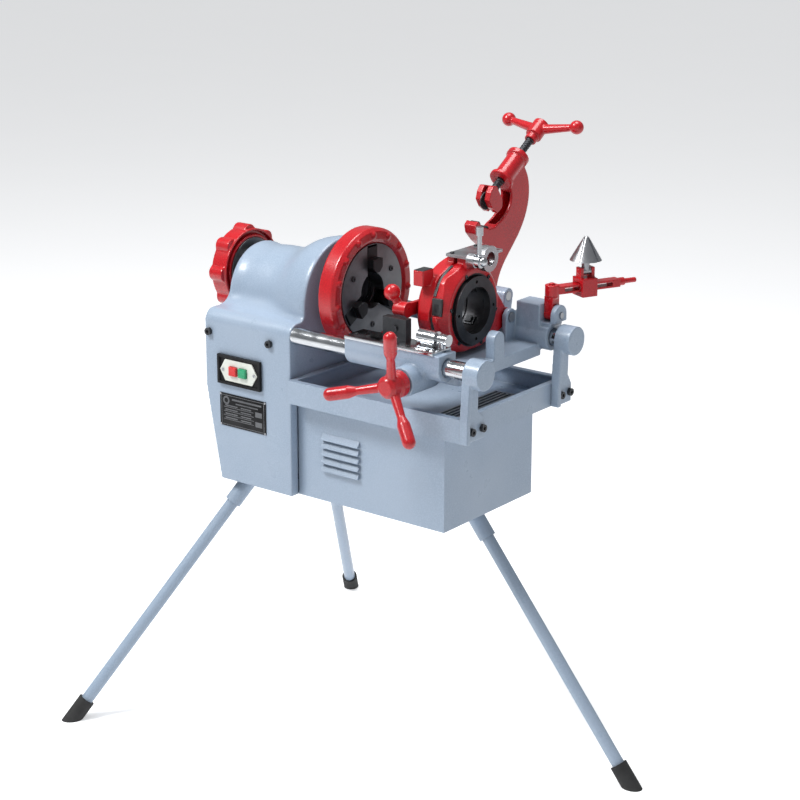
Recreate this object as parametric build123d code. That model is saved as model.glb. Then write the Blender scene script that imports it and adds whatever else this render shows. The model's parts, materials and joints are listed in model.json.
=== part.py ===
from build123d import *
import math
import os

# Pipe threading machine. Millimetres. X runs along the spindle from rear to tail end,
# Y runs from the operator to the back, Z is up. The origin is on the spindle axis, in
# the plane of the headstock's rear end.

# ---- Stand and body ----
FLOOR_Z = -770.0
BASE_Z = -350.0
BASE_HALF = 128.0
BASE_X1 = 510.0
SHEET = 2.5
CASING_X1 = 196.0
CASING_HALF = 148.0
CASING_WALL = 4.0
SHOULDER_Z = -42.0
CORNER_R = 22.0
SLANT_Z = -184.0
SLANT_X = 31.0
TRAY_X1 = 561.0
TRAY_HALF = 156.0
TRAY_TOP = -137.0
TRAY_FLANGE = -178.0
TRAY_FLOOR = -170.0

# ---- Rails ----
RAIL_R = 15.0
RAIL_Y = 132.0
RAIL_Z = -63.0
RAIL_X1 = 590.0
SPIGOT_R = 9.0
POST_HEAD_R = 25.0
POST_X0 = 564.0
POST_X1 = 594.0
POST_T = 9.0
POST_SCREWS = {-1: (-138.0, -108.0), 1: (123.0, 149.0)}
POST_SCREW_Z = -160.0

# ---- Spindle and drive ----
FIT = 0.05
BORE_R = 31.0
SPINDLE_R = 35.0
SPINDLE_X0 = -43.8
SPINDLE_X1 = 226.0
BUSH_R = 39.0
SHAFT_R = 8.0
SPINDLE_MODULE = 2.5
RING_TEETH = 54
PINION_2_TEETH = 14
TRAIN_MODULE = 2.0
GEAR_2_TEETH = 46
PINION_1_TEETH = 14
GEAR_1_TEETH = 50
ROTOR_TEETH = 17
SHAFT_2_Z = -SPINDLE_MODULE * (RING_TEETH + PINION_2_TEETH) / 2
SHAFT_1_Z = SHAFT_2_Z - TRAIN_MODULE * (GEAR_2_TEETH + PINION_1_TEETH) / 2
MOTOR_Z = SHAFT_1_Z - TRAIN_MODULE * (GEAR_1_TEETH + ROTOR_TEETH) / 2
FRONT_PLATE_X = 176.0
REAR_PLATE_X = 12.0
PLATE_T = 12.0
MOTOR_R = 38.0

# ---- Chucks ----
WHEEL_R = 110.0
WHEEL_X0 = 228.0
WHEEL_X1 = 262.0
DISC_R = 83.0
DISC_X1 = 259.0
JAW_OPEN_R = 34.0
REAR_WHEEL_R = 80.0
REAR_BODY_R = 56.0
REAR_X0 = -58.0

# ---- Carriage ----
SLEEVE_R = 24.0
SLEEVE_X0 = 322.0
SLEEVE_X1 = 518.0
BRIDGE_X0 = 404.0
BRIDGE_X1 = 530.0
BRIDGE_TOP = -74.0
RACK_MODULE = 1.5
FEED_TEETH = 15
RACK_PITCH_Z = -74.5
FEED_X = 462.0
FEED_Z = RACK_PITCH_Z - RACK_MODULE * FEED_TEETH / 2
FEED_SHAFT_R = 8.0

# ---- Die head ----
DIE_PIVOT = (100.0, -32.0)
DIE_X0 = 412.0
DIE_X1 = 474.0
DIE_R = 84.0
DIE_HOLE_R = 40.0
DIE_OPEN_R = 33.0
PIN_R = 8.0
LOCK_Y = -12.0
LOCK_Z = 88.0
LOCK_EYE_Y = 28.0
LOCK_EYE_Z = 84.0

# ---- Cutter (outline in Y, Z) ----
CUT_PIVOT = (152.0, -12.0)
CUT_X = 390.5
CUT_HALF = 12.5
SLIDE_HALF = 15.0
SCREW_DIR = (0.838, 0.546)
SCREW_START = (159.7, 157.3)
SCREW_R = 7.0
ROLLERS = ((117.0, 112.0), (142.0, 99.5))

# ---- Reamer ----
REAM_Y = 135.0
REAM_Z = -24.0
ELBOW_X = 540.0
BAR_Z = 17.0
HUB_X = 606.0
CONE_R = 27.5
CONE_H = 45.0
REAM_SWING = 65.0


def rod_x(radius, x0, x1, y=0.0, z=0.0):
    return Pos((x0 + x1) / 2, y, z) * Rot(0, 90, 0) * Cylinder(radius, x1 - x0)


def tube_x(outer, inner, x0, x1, y=0.0, z=0.0):
    return rod_x(outer, x0, x1, y, z) - rod_x(inner, x0 - 1, x1 + 1, y, z)


def rod_y(radius, y0, y1, x, z):
    return Pos(x, (y0 + y1) / 2, z) * Rot(90, 0, 0) * Cylinder(radius, y1 - y0)


def rod_z(radius, z0, z1, x, y):
    return Pos(x, y, (z0 + z1) / 2) * Cylinder(radius, z1 - z0)


def block(x0, x1, y0, y1, z0, z1):
    return Pos((x0 + x1) / 2, (y0 + y1) / 2, (z0 + z1) / 2) * Box(x1 - x0, y1 - y0, z1 - z0)


def rod_between(start, end, radius):
    run = Vector(*end) - Vector(*start)
    return Plane(origin=start, z_dir=run) * Pos(0, 0, run.length / 2) * Cylinder(radius, run.length)


def cone_between(start, end, radius_0, radius_1):
    run = Vector(*end) - Vector(*start)
    return Plane(origin=start, z_dir=run) * Pos(0, 0, run.length / 2) * Cone(radius_0, radius_1, run.length)


def plate_yz(points, x0, x1):
    """Plate cut along a (y, z) outline, from x0 to x1."""
    face = make_face(Polyline(*[(x0, y, z) for y, z in points], close=True))
    return extrude(face, amount=x1 - x0, dir=(1, 0, 0))


def plate_xz(points, y0, y1):
    """Plate cut along an (x, z) outline, from y0 to y1."""
    face = make_face(Polyline(*[(x, y0, z) for x, z in points], close=True))
    return extrude(face, amount=y1 - y0, dir=(0, 1, 0))


def about_x(shape, angle, y=0.0, z=0.0):
    """Turn a shape about the line parallel to X through (y, z)."""
    return Pos(0, y, z) * Rot(angle, 0, 0) * Pos(0, -y, -z) * shape


# ---- Gears ----

def involute_angle(radius, base):
    """Polar angle that the involute has swept when it reaches this radius."""
    if radius <= base:
        return 0.0
    roll = math.sqrt((radius / base) ** 2 - 1)
    return roll - math.atan(roll)


def gear_outline(module, teeth, backlash=0.30):
    """Corner points of a spur gear with 20 degree involute flanks, a tooth on +z."""
    pitch_r = module * teeth / 2
    base_r = pitch_r * math.cos(math.radians(20))
    root_r = pitch_r - 1.25 * module
    tip_r = pitch_r + 0.85 * module
    half = math.pi / (2 * teeth) - backlash / (2 * pitch_r)
    at_pitch = involute_angle(pitch_r, base_r)
    radii = [max(root_r, base_r) + (tip_r - max(root_r, base_r)) * step / 3 for step in range(4)]
    if root_r < base_r:
        radii.insert(0, root_r)
    flank = [(radius, half + at_pitch - involute_angle(radius, base_r)) for radius in radii]
    points = []
    for tooth in range(teeth):
        centre = 2 * math.pi * tooth / teeth
        for radius, angle in flank:
            points.append((radius, centre - angle))
        for radius, angle in reversed(flank):
            points.append((radius, centre + angle))
    return points


def gear(module, teeth, x0, x1, z, bore, turn=0.0):
    """Spur gear on an axis parallel to X, turned by an angle in degrees."""
    shift = math.radians(turn)
    points = []
    for radius, angle in gear_outline(module, teeth):
        points.append((radius * math.sin(angle + shift), z + radius * math.cos(angle + shift)))
    wheel = plate_yz(points, x0, x1)
    if bore > 0:
        wheel -= rod_x(bore, x0 - 1, x1 + 1, 0, z)
    return wheel


# ---- Headstock casing ----

def flare(x):
    """How far the barrel has opened into its front bell, 0 to 1."""
    step = min(max((x - 90) / 82, 0.0), 1.0)
    return step * step * (3 - 2 * step)


def casing_section(x, inset, low):
    """Cross-section of the saddle-shaped casing at x, inset by a wall thickness."""
    centre = -32 + 9 * flare(x)
    radius = 82 + 0.03 * x + 20 * flare(x) - inset
    hollow = 30 - 18 * flare(x) + inset
    shoulder = SHOULDER_Z - inset
    half = CASING_HALF - inset
    corner = CORNER_R - inset
    hollow_z = shoulder + hollow
    hollow_y = math.sqrt((radius + hollow) ** 2 - (hollow_z - centre) ** 2)
    share = radius / (radius + hollow)
    touch = (hollow_y * share, centre + (hollow_z - centre) * share)
    middle = (-math.pi / 2 + math.atan2(centre - hollow_z, -hollow_y) - 2 * math.pi * (hollow_z < centre)) / 2
    hollow_mid = (hollow_y + hollow * math.cos(middle), hollow_z + hollow * math.sin(middle))
    bend = corner * (1 - math.sqrt(0.5))

    def at(side, y, z):
        return (x, side * y, z)

    edges = []
    for side in (1, -1):
        edges.append(Line(at(side, half, low), at(side, half, shoulder - corner)))
        edges.append(ThreePointArc(at(side, half, shoulder - corner),
                                   at(side, half - bend, shoulder - bend),
                                   at(side, half - corner, shoulder)))
        edges.append(Line(at(side, half - corner, shoulder), at(side, hollow_y, shoulder)))
        edges.append(ThreePointArc(at(side, hollow_y, shoulder),
                                   at(side, *hollow_mid),
                                   at(side, *touch)))
    edges.append(ThreePointArc(at(1, *touch), (x, 0, centre + radius), at(-1, *touch)))
    edges.append(Line(at(1, half, low), at(-1, half, low)))
    return make_face(edges)


def casing_solid(x0, x1, inset, low):
    steps = 8
    sections = [casing_section(x0 + (x1 - x0) * step / steps, inset, low) for step in range(steps + 1)]
    return loft(sections)


def headstock_casing():
    inner_half = CASING_HALF - CASING_WALL
    body = casing_solid(0, CASING_X1, 0, -100)
    body += plate_xz([(0, -100), (0, SLANT_Z), (SLANT_X, BASE_Z), (CASING_X1, BASE_Z), (CASING_X1, -100)],
                     -CASING_HALF, CASING_HALF)
    room = casing_solid(CASING_WALL, CASING_X1 - CASING_WALL, CASING_WALL, -101)
    room += plate_xz([(CASING_WALL, -100), (CASING_WALL, SLANT_Z), (SLANT_X + CASING_WALL, BASE_Z - 1),
                      (CASING_X1 - CASING_WALL, BASE_Z - 1), (CASING_X1 - CASING_WALL, -100)],
                     -inner_half, inner_half)
    for side in (1, -1):
        y0, y1 = sorted((side * 108, side * CASING_HALF))
        room -= block(168, CASING_X1, y0, y1, -92, SHOULDER_Z)
    body -= room
    body -= block(CASING_X1 - 6, CASING_X1 + 1, -BASE_HALF, BASE_HALF, BASE_Z - 1, TRAY_FLANGE + 6)
    body -= rod_x(44, -1, CASING_WALL + 1)
    body -= rod_x(50, CASING_X1 - 6, CASING_X1 + 1)
    for side in (1, -1):
        body -= rod_x(SPIGOT_R, 160, CASING_X1 + 1, side * RAIL_Y, RAIL_Z)
    body -= block(54, 110, -CASING_HALF - 1, -inner_half + 1, -160, -129)
    for x in (10, 150):
        body -= rod_y(4, -CASING_HALF - 1, -inner_half + 1, x, -82)
    body -= rod_x(9, -1, CASING_WALL + 1, 60, -150)
    return body


def base_box():
    floor_t = 3.0
    box = block(CASING_X1, BASE_X1, -BASE_HALF, BASE_HALF, BASE_Z, TRAY_FLANGE)
    box -= block(CASING_X1 - 1, BASE_X1 - SHEET, -BASE_HALF + SHEET, BASE_HALF - SHEET,
                 BASE_Z + floor_t, TRAY_FLANGE + 1)
    box += block(SLANT_X + CASING_WALL + 2, CASING_X1 + 1, -BASE_HALF, BASE_HALF, BASE_Z, BASE_Z + floor_t)
    for slat in range(5):
        z = -234 - 14 * slat
        box -= block(255, 328, -BASE_HALF - 1, -BASE_HALF + SHEET + 1, z - 3, z)
        hood = plate_yz([(-BASE_HALF, z - 4), (-BASE_HALF - 7, z - 4), (-BASE_HALF - 7, z - 2),
                         (-BASE_HALF, z + 7)], 251, 332)
        hood -= plate_yz([(-BASE_HALF + 1, z - 5), (-BASE_HALF - 5.5, z - 5), (-BASE_HALF - 5.5, z - 3),
                          (-BASE_HALF + 1, z + 3)], 253, 330)
        box += hood
    return box


def drip_tray():
    tray = block(CASING_X1, TRAY_X1, -TRAY_HALF, TRAY_HALF, TRAY_FLANGE, TRAY_TOP)
    tray -= block(CASING_X1 + SHEET, TRAY_X1 - SHEET, -TRAY_HALF + SHEET, TRAY_HALF - SHEET,
                  TRAY_FLOOR, TRAY_TOP + 1)
    tray -= block(CASING_X1 + SHEET, TRAY_X1 - SHEET, -TRAY_HALF + SHEET, TRAY_HALF - SHEET,
                  TRAY_FLANGE - 1, TRAY_FLOOR - SHEET)
    tray -= block(CASING_X1 - 1, CASING_X1 + SHEET + 1, -60, 60, TRAY_FLANGE - 1, TRAY_FLOOR - SHEET)
    lip = block(CASING_X1, TRAY_X1, -TRAY_HALF, TRAY_HALF, TRAY_TOP - 4, TRAY_TOP)
    lip -= block(CASING_X1 + 12, TRAY_X1 - 12, -TRAY_HALF + 12, TRAY_HALF - 12, TRAY_TOP - 5, TRAY_TOP + 1)
    tray += lip
    for step in range(7):
        x = 462 + 9 * step
        for y in (-64, 0, 64):
            tray -= block(x - 2.5, x + 2.5, y - 27, y + 27, TRAY_FLOOR - 5, TRAY_FLOOR + 1)
    return tray


# ---- Rails and posts ----

def rail(y):
    bar = rod_x(RAIL_R, CASING_X1, RAIL_X1, y, RAIL_Z)
    return bar + rod_x(SPIGOT_R, 172, CASING_X1, y, RAIL_Z)


def front_rail():
    bar = rail(-RAIL_Y)
    tip_z = RACK_PITCH_Z - RACK_MODULE
    root_z = RACK_PITCH_Z + 1.25 * RACK_MODULE
    bar -= block(352, 545, -RAIL_Y - 20, -RAIL_Y + 20, RAIL_Z - 20, tip_z)
    pitch = math.pi * RACK_MODULE
    backlash = 0.15
    slope = math.tan(math.radians(20))
    for step in range(-22, 17):
        x = FEED_X + pitch * step
        tip_half = pitch / 4 + backlash + (RACK_PITCH_Z - tip_z) * slope
        root_half = pitch / 4 + backlash - (root_z - RACK_PITCH_Z) * slope
        bar -= plate_xz([(x - tip_half, tip_z - 1), (x - tip_half, tip_z), (x - root_half, root_z),
                         (x + root_half, root_z), (x + tip_half, tip_z), (x + tip_half, tip_z - 1)],
                        -RAIL_Y - 20, -RAIL_Y + 20)
    return bar


def rear_rail():
    return rail(RAIL_Y)


def rail_post(side):
    """Round head over the rail's end, a web, and a foot bolted to the tray's end."""
    y = side * RAIL_Y
    foot_y = y + 3
    wide = 29.0 if side < 0 else 21.0
    post = rod_x(POST_HEAD_R, POST_X0, POST_X1, y, RAIL_Z)
    post += plate_yz([(y - 15, RAIL_Z), (y + 15, RAIL_Z), (foot_y + 10, -128), (foot_y + wide, -146),
                      (foot_y + wide, TRAY_FLANGE), (foot_y - 29, TRAY_FLANGE), (foot_y - 29, -146),
                      (foot_y - 20, -128)], TRAY_X1, TRAY_X1 + POST_T)
    post += plate_yz([(y - 20, RAIL_Z), (y - 8, RAIL_Z), (foot_y - 20, -140), (foot_y - 20, TRAY_FLANGE),
                      (foot_y - 29, TRAY_FLANGE), (foot_y - 29, -140)], TRAY_X1, TRAY_X1 + 16)
    post -= rod_x(RAIL_R, TRAY_X1 - 1, RAIL_X1, y, RAIL_Z)
    for screw_y in POST_SCREWS[side]:
        post -= rod_x(4, TRAY_X1 - 1, TRAY_X1 + 30, screw_y, POST_SCREW_Z)
    return post


def cap_screws():
    """Identical screws: two hold each rail post's foot, two hold the panel's top."""
    bolts = Part()
    for x in (10, 150):
        bolts += rod_y(4, -CASING_HALF, -CASING_HALF + 9, x, -82)
        bolts += rod_y(6.5, -CASING_HALF - 6, -CASING_HALF, x, -82)
        bolts -= rod_y(3, -CASING_HALF - 7, -CASING_HALF - 3, x, -82)
    for side in (-1, 1):
        head_x = TRAY_X1 + POST_T
        for y in POST_SCREWS[side]:
            bolts += rod_x(4, TRAY_X1, head_x, y, POST_SCREW_Z)
            bolts += rod_x(6.5, head_x, head_x + 6, y, POST_SCREW_Z)
            bolts -= rod_x(3, head_x + 3, head_x + 7, y, POST_SCREW_Z)
    return bolts


# ---- Switch and plates ----
PANEL_Y = -CASING_HALF
SWITCH_X = 81.0
SWITCH_Z = -144.5


def switch_bezel():
    frame = block(32, 131, PANEL_Y - 6, PANEL_Y, -171, -118)
    frame -= block(37, 126, PANEL_Y - 7, PANEL_Y - 3, -166, -123)
    return frame - block(56, 108, PANEL_Y - 7, PANEL_Y + 1, -158, -131)


def switch_plate():
    z0, z1 = -164.0, -125.0
    y = PANEL_Y - 5.0
    plate = plate_xz([(38, SWITCH_Z), (50, z1), (112, z1), (124, SWITCH_Z), (112, z0), (50, z0)], y, PANEL_Y - 3)
    for x in (SWITCH_X - 11, SWITCH_X + 11):
        plate -= block(x - 9, x + 9, y - 1, PANEL_Y, SWITCH_Z - 8.5, SWITCH_Z + 8.5)
    return plate


def push_button(x):
    cap = block(x - 8.5, x + 8.5, PANEL_Y - 10, PANEL_Y + 6, SWITCH_Z - 8, SWITCH_Z + 8)
    return fillet(cap.faces().sort_by(Axis.Y)[0].edges(), 1.5)


# ---- Drive ----

def bearing_frame():
    front = plate_yz([(-62, -262), (62, -262), (62, -60), (72, 20), (40, 60), (-40, 60), (-72, 20), (-62, -60)],
                     FRONT_PLATE_X, FRONT_PLATE_X + PLATE_T)
    rear = plate_yz([(-60, -200), (60, -200), (60, 0), (42, 40), (-42, 40), (-60, 0)],
                    REAR_PLATE_X, REAR_PLATE_X + PLATE_T)
    rear = rear & rod_x(77, 0, 60, 0, -32) + block(0, 60, -60, 60, -210, -32)
    frame = front + rear
    for side in (-1, 1):
        y0, y1 = sorted((side * 60, side * 76))
        frame += block(REAR_PLATE_X, FRONT_PLATE_X + PLATE_T, y0, y1, -200, -186)
        frame += block(FRONT_PLATE_X, FRONT_PLATE_X + PLATE_T, y0, y1, BASE_Z + 3, -186)
        frame += block(FRONT_PLATE_X - 30, FRONT_PLATE_X + PLATE_T, y0, y1, BASE_Z + 3, BASE_Z + 11)
        y2, y3 = sorted((side * 50, side * 62))
        frame += block(FRONT_PLATE_X, FRONT_PLATE_X + PLATE_T, y2, y3, -262, -186)
    for x in (REAR_PLATE_X, FRONT_PLATE_X):
        frame -= rod_x(BUSH_R, x - 1, x + PLATE_T + 1)
        for z in (SHAFT_2_Z, SHAFT_1_Z):
            frame -= rod_x(SHAFT_R + FIT, x - 1, x + PLATE_T + 1, 0, z)
    return frame - rod_x(SHAFT_R + FIT, FRONT_PLATE_X - 1, FRONT_PLATE_X + PLATE_T + 1, 0, MOTOR_Z)


def bush(x):
    return tube_x(BUSH_R, SPINDLE_R + FIT, x, x + PLATE_T)


def spindle_tube():
    return tube_x(SPINDLE_R, BORE_R, SPINDLE_X0, SPINDLE_X1)


def ring_gear():
    wheel = gear(SPINDLE_MODULE, RING_TEETH, 148, 168, 0, SPINDLE_R)
    for index in range(6):
        wheel -= about_x(rod_x(7, 147, 169, 0, 54), 60 * index + 30)
    return wheel + tube_x(44, SPINDLE_R, 140, 175)


def countershaft_2():
    half_tooth = 180.0 / PINION_2_TEETH
    shaft = rod_x(SHAFT_R, REAR_PLATE_X - 2, FRONT_PLATE_X + PLATE_T + 2, 0, SHAFT_2_Z)
    return shaft + gear(SPINDLE_MODULE, PINION_2_TEETH, 146, 170, SHAFT_2_Z, 0, half_tooth)


def gear_2():
    wheel = gear(TRAIN_MODULE, GEAR_2_TEETH, 122, 136, SHAFT_2_Z, SHAFT_R)
    for index in range(5):
        wheel -= about_x(rod_x(9, 121, 137, 0, SHAFT_2_Z + 30), 72 * index, 0, SHAFT_2_Z)
    return wheel


def countershaft_1():
    shaft = rod_x(SHAFT_R, REAR_PLATE_X - 2, FRONT_PLATE_X + PLATE_T + 2, 0, SHAFT_1_Z)
    return shaft + gear(TRAIN_MODULE, PINION_1_TEETH, 118, 138, SHAFT_1_Z, 0, 180.0 / PINION_1_TEETH)


def gear_1():
    wheel = gear(TRAIN_MODULE, GEAR_1_TEETH, 96, 108, SHAFT_1_Z, SHAFT_R)
    for index in range(5):
        wheel -= about_x(rod_x(9, 95, 109, 0, SHAFT_1_Z + 30), 72 * index, 0, SHAFT_1_Z)
    return wheel


def motor_rotor():
    rotor = rod_x(SHAFT_R, 90, 372, 0, MOTOR_Z)
    rotor += gear(TRAIN_MODULE, ROTOR_TEETH, 92, 112, MOTOR_Z, 0, 180.0 / ROTOR_TEETH)
    return rotor + rod_x(24, 240, 330, 0, MOTOR_Z)


def motor_housing():
    x0, x1 = FRONT_PLATE_X + PLATE_T, 380.0
    can = tube_x(MOTOR_R, MOTOR_R - 5, x0 + 6, x1 - 6, 0, MOTOR_Z)
    can += tube_x(MOTOR_R, SHAFT_R + FIT, x0, x0 + 6, 0, MOTOR_Z)
    can += rod_x(MOTOR_R, x1 - 6, x1, 0, MOTOR_Z)
    can += tube_x(16, SHAFT_R + FIT, 362, x1 - 6, 0, MOTOR_Z)
    can += tube_x(MOTOR_R - 4, 25, 246, 324, 0, MOTOR_Z)
    for x in (225, 345):
        can += block(x - 10, x + 10, -30, 30, BASE_Z + 3, BASE_Z + 11)
        can += block(x - 10, x + 10, -8, 8, BASE_Z + 8, MOTOR_Z - MOTOR_R + 4)
    return can


def oil_pump():
    pump = rod_y(20, -20, 20, 440, -322) + block(424, 456, -14, 14, BASE_Z + 3, -322)
    return pump + rod_z(5, -310, -296, 440, 0)


def cable_gland():
    gland = tube_x(8.9, 5, -2, 8, 60, -150) + tube_x(13, 5, -12, -0.0, 60, -150)
    return gland + rod_x(5, -30, 10, 60, -150)


# ---- Stand ----
LEGS = (
    ((66.0, -104.0), (-0.43, -0.70)),
    ((66.0, 104.0), (-0.43, 0.70)),
    ((472.0, 0.0), (0.80, 0.0)),
)
LEG_R = 11.0
FOOT_H = 34.0


def leg_point(index, z):
    (x, y), (lean_x, lean_y) = LEGS[index]
    drop = BASE_Z - z
    return (x + lean_x * drop, y + lean_y * drop, z)


def leg(index):
    tube = rod_between(leg_point(index, BASE_Z + 20), leg_point(index, FLOOR_Z - 20), LEG_R)
    tube -= rod_between(leg_point(index, BASE_Z + 30), leg_point(index, FLOOR_Z - 30), LEG_R - 2)
    return tube & block(-400, 1000, -600, 600, FLOOR_Z + 6, BASE_Z)


def leg_sockets():
    sockets = Part()
    for index in range(len(LEGS)):
        socket = rod_between(leg_point(index, BASE_Z + 30), leg_point(index, BASE_Z - 46), LEG_R + 4)
        socket -= rod_between(leg_point(index, BASE_Z + 40), leg_point(index, BASE_Z - 60), LEG_R)
        socket = socket & block(-400, 1000, -600, 600, BASE_Z - 70, BASE_Z)
        x, y = LEGS[index][0]
        flange = block(x - 26, x + 26, y - 24, y + 24, BASE_Z - 4, BASE_Z)
        flange -= rod_between(leg_point(index, BASE_Z + 40), leg_point(index, BASE_Z - 60), LEG_R)
        sockets += socket + flange
    return sockets


def feet():
    shoes = Part()
    for index in range(len(LEGS)):
        shoe = rod_between(leg_point(index, FLOOR_Z + FOOT_H), leg_point(index, FLOOR_Z - 30), LEG_R + 4)
        shoe -= rod_between(leg_point(index, FLOOR_Z + FOOT_H + 20), leg_point(index, FLOOR_Z - 40), LEG_R) \
            & block(-400, 1000, -600, 600, FLOOR_Z + 6, FLOOR_Z + 120)
        shoes += shoe & block(-400, 1000, -600, 600, FLOOR_Z, FLOOR_Z + 100)
    return shoes


# ---- Front chuck ----

def jaw_slot(x0, x1, width, r0, r1, index):
    return about_x(block(x0, x1, -width / 2, width / 2, r0, r1), 120 * index)


def front_chuck_body():
    body = tube_x(58, SPINDLE_R, 200, 228) + tube_x(DISC_R, BORE_R, 228, DISC_X1)
    body -= rod_x(SPINDLE_R, 199, SPINDLE_X1)
    for index in range(3):
        body -= jaw_slot(238, DISC_X1 + 1, 26.1, 20, 81, index)
    return body


def front_chuck_wheel():
    """Hand ring: a wide rim with finger bumps round its front edge."""
    bore = DISC_R + FIT
    profile = Polyline((WHEEL_X0, 0, bore), (WHEEL_X0, 0, WHEEL_R), (WHEEL_X1 - 7, 0, WHEEL_R),
                       (WHEEL_X1, 0, WHEEL_R - 6), (WHEEL_X1, 0, bore + 7), (WHEEL_X1 - 5, 0, bore), close=True)
    wheel = revolve(make_face(profile), axis=Axis.X)
    for index in range(15):
        wheel += about_x(Pos(WHEEL_X1 - 2, 0, WHEEL_R - 12) * Sphere(6.5), 24 * index)
    return wheel


def front_jaw(index):
    jaw = block(238, 272, -13, 13, JAW_OPEN_R, 80 - 2)
    jaw -= block(260, 273, -14, 14, 58, 90)
    for side in (-1, 1):
        jaw -= Pos(255, side * 13, JAW_OPEN_R) * Rot(45 * side, 0, 0) * Box(40, 12, 12)
    return about_x(jaw, 120 * index)


# ---- Rear chuck ----

def rear_chuck_body():
    body = tube_x(REAR_BODY_R, SPINDLE_R, REAR_X0 + 2, -16)
    for index in range(3):
        body -= jaw_slot(REAR_X0 - 2, REAR_X0 + 14, 18.1, 20, 60, index)
    return body


def rear_chuck_wheel():
    """Lobed hand ring with a hollow face."""
    ring = tube_x(REAR_WHEEL_R - 8, REAR_BODY_R + FIT, REAR_X0 + 6, -18)
    for index in range(8):
        lobe = rod_x(15, REAR_X0 + 6, -22, 0, REAR_WHEEL_R - 15)
        ring += about_x(lobe, 45 * index)
    ring -= rod_x(REAR_BODY_R + FIT, REAR_X0, -10)
    ring -= tube_x(REAR_WHEEL_R - 12, REAR_BODY_R + 5, -27, -10)
    return ring


def rear_jaw(index):
    jaw = block(REAR_X0 - 4, REAR_X0 + 14, -9, 9, JAW_OPEN_R + 1.5, REAR_BODY_R - 3)
    return about_x(jaw, 120 * index)


# ---- Carriage ----

def lug(x0, x1, y, z, radius, foot_y0, foot_y1, foot_z):
    """Ear around a pin, standing on a foot."""
    return rod_x(radius, x0, x1, y, z) + plate_yz([(y - radius, z), (y + radius, z), (foot_y1, foot_z),
                                                    (foot_y0, foot_z)], x0, x1)


def carriage_casting():
    front_y = -RAIL_Y
    body = rod_x(SLEEVE_R, SLEEVE_X0, SLEEVE_X1, front_y, RAIL_Z)
    body += block(SLEEVE_X0, SLEEVE_X1, -155, -109, RAIL_Z, -40)
    body += block(SLEEVE_X0 + 2, 506, -157, -107, -40, -35)
    body += rod_y(25, -184, -106, FEED_X, FEED_Z) + block(FEED_X - 25, FEED_X + 25, -156, -108, FEED_Z, RAIL_Z)
    body += block(BRIDGE_X0, BRIDGE_X1, -118, 120, -96, BRIDGE_TOP)
    body += block(511, BRIDGE_X1, -18, 12, BRIDGE_TOP, -43) + rod_x(15, 511, BRIDGE_X1, -3, -43)
    body += rod_x(SLEEVE_R, 412, 548, RAIL_Y, RAIL_Z)
    body += block(412, 548, 112, 156, RAIL_Z, -44)
    body += lug(404, 411, *DIE_PIVOT, 15, 84, 120, BRIDGE_TOP)
    body += lug(472, 482, *DIE_PIVOT, 15, 84, 120, BRIDGE_TOP)
    body += lug(412, 440, *CUT_PIVOT, 14, 130, 156, RAIL_Z)
    body += block(483, 531, 112, 153, -50, -5)
    for x0, x1 in ((520, 531), (549, 560)):
        ear = block(x0, x1, 117, 153, -36, -24) + rod_x(18, x0, x1, REAM_Y, -24)
        body += ear & block(x0, x1, 117, 153, -36, 0)
    body += block(520, 551, 117, 153, -44, -36)
    for y in (-RAIL_Y, RAIL_Y):
        body -= rod_x(RAIL_R + FIT, 300, 600, y, RAIL_Z)
    body -= rod_y(14.5, -146, -118, FEED_X, FEED_Z) & block(440, 480, -150, -100, -110, -70)
    body -= rod_y(FEED_SHAFT_R + FIT, -190, -100, FEED_X, FEED_Z)
    body -= rod_x(PIN_R, 400, 490, *DIE_PIVOT)
    body -= rod_x(PIN_R, 400, 445, *CUT_PIVOT)
    body -= rod_x(5, 515, 565, REAM_Y, REAM_Z)
    return body - rod_z(7, -44, -30, 500, -126)


def stop_block():
    body = block(380, 428, -126, -111, -35, 1)
    return body + rod_y(5, -129, -126, 406, -16)


def oil_valve():
    barrel = rod_x(12, 454, 490, -121, -21) + block(460, 484, -128, -114, -35, -27)
    barrel += rod_x(7, 488, 498, -121, -21) + rod_x(10, 496, 512, -121, -21)
    return barrel + rod_z(7, -35, -24, 500, -124)


def swing_pin():
    return rod_x(PIN_R, 404, 484, *DIE_PIVOT)


def cutter_pin():
    return rod_x(PIN_R, 376, 440, *CUT_PIVOT) + rod_x(13, 373.5, 377.5, *CUT_PIVOT)


def reamer_pin():
    return rod_x(5, 518, 562, REAM_Y, REAM_Z)


def pinion_shaft():
    shaft = rod_y(FEED_SHAFT_R, -214, -106, FEED_X, FEED_Z)
    outline = gear_outline(RACK_MODULE, FEED_TEETH, 0.15)
    points = []
    for radius, angle in outline:
        points.append((FEED_X + radius * math.sin(angle), FEED_Z + radius * math.cos(angle)))
    return shaft + plate_xz(points, -142, -122)


def spoke():
    """Handle of the feed wheel, turned about Z: a thin neck and a thick rounded grip."""
    neck_r, grip_r, grip_start, grip_end = 7.0, 11.0, 74.0, 106.0
    outline = [
        Line((0, 0, 0), (9, 0, 0)),
        Line((9, 0, 0), (neck_r, 0, 60)),
        Line((neck_r, 0, 60), (grip_r, 0, grip_start)),
        Line((grip_r, 0, grip_start), (grip_r, 0, grip_end)),
        ThreePointArc((grip_r, 0, grip_end), (grip_r * math.sqrt(0.5), 0, grip_end + grip_r * math.sqrt(0.5)),
                      (0, 0, grip_end + grip_r)),
        Line((0, 0, grip_end + grip_r), (0, 0, 0)),
    ]
    return revolve(make_face(outline), axis=Axis.Z)


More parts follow.
